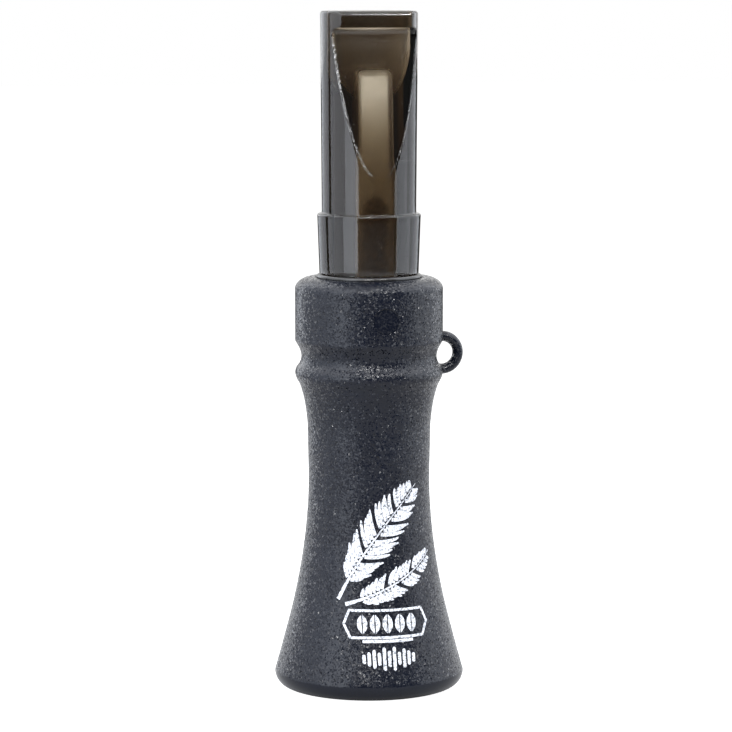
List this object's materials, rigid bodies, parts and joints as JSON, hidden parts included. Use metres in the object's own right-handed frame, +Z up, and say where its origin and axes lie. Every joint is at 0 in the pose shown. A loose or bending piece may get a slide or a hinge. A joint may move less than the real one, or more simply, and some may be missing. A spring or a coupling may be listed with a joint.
{
  "type": "mouth-blown crow call",
  "caption": "Flared barrel with a lanyard loop, and a push-in smoke mouthpiece with a sloping lip bevel that holds the tone board, reed and wedge.",
  "frame": {"origin": "on the barrel's axis, in the plane of the bell's rim, on which the call stands", "axes": "+Z up along the barrel's axis towards the mouthpiece, -Y the front with the print and the lip bevel, +X the side of the lanyard loop"},
  "size_m": [0.0339, 0.0336, 0.1198],
  "materials": {
    "barrel_plastic": "black moulded plastic with a spark-eroded grain that sparkles",
    "seal_rubber": "glossy black rubber ring",
    "smoke_plastic": "polished smoke-tinted clear plastic",
    "ivory_plastic": "satin ivory moulded plastic",
    "reed_film": "satin polyester film",
    "wedge_rubber": "tan pressed rubber",
    "print_ink": "pale pad-printed ink"
  },
  "bodies": {
    "barrel": {"barrel": "barrel_plastic"},
    "seal_ring": {"seal_ring": "seal_rubber"},
    "mouthpiece": {"mouthpiece": "smoke_plastic"},
    "tone_board": {"tone_board": "ivory_plastic", "reed_wedge": "wedge_rubber"},
    "reed": {"reed": "reed_film"}
  },
  "joints": [
    {"name": "mouthpiece_pull", "type": "slide", "parent": "barrel", "child": "seal_ring", "axis": [0, 0, 1], "range_m": [0, 0.03]},
    {"name": "mouthpiece_turn", "type": "hinge", "parent": "seal_ring", "child": "mouthpiece", "pos_m": [0, 0, 0.074], "axis": [0, 0, 1], "continuous": true},
    {"name": "tone_board_pull", "type": "slide", "parent": "mouthpiece", "child": "tone_board", "axis": [0, 0, -1], "range_m": [0, 0.02]},
    {"name": "reed_flex", "type": "hinge", "parent": "tone_board", "child": "reed", "pos_m": [0, -0.00328, 0.084], "axis": [-1, 0, 0], "range_deg": [0, 1.8], "stiffness_Nm_per_rad": 0.002}
  ]
}
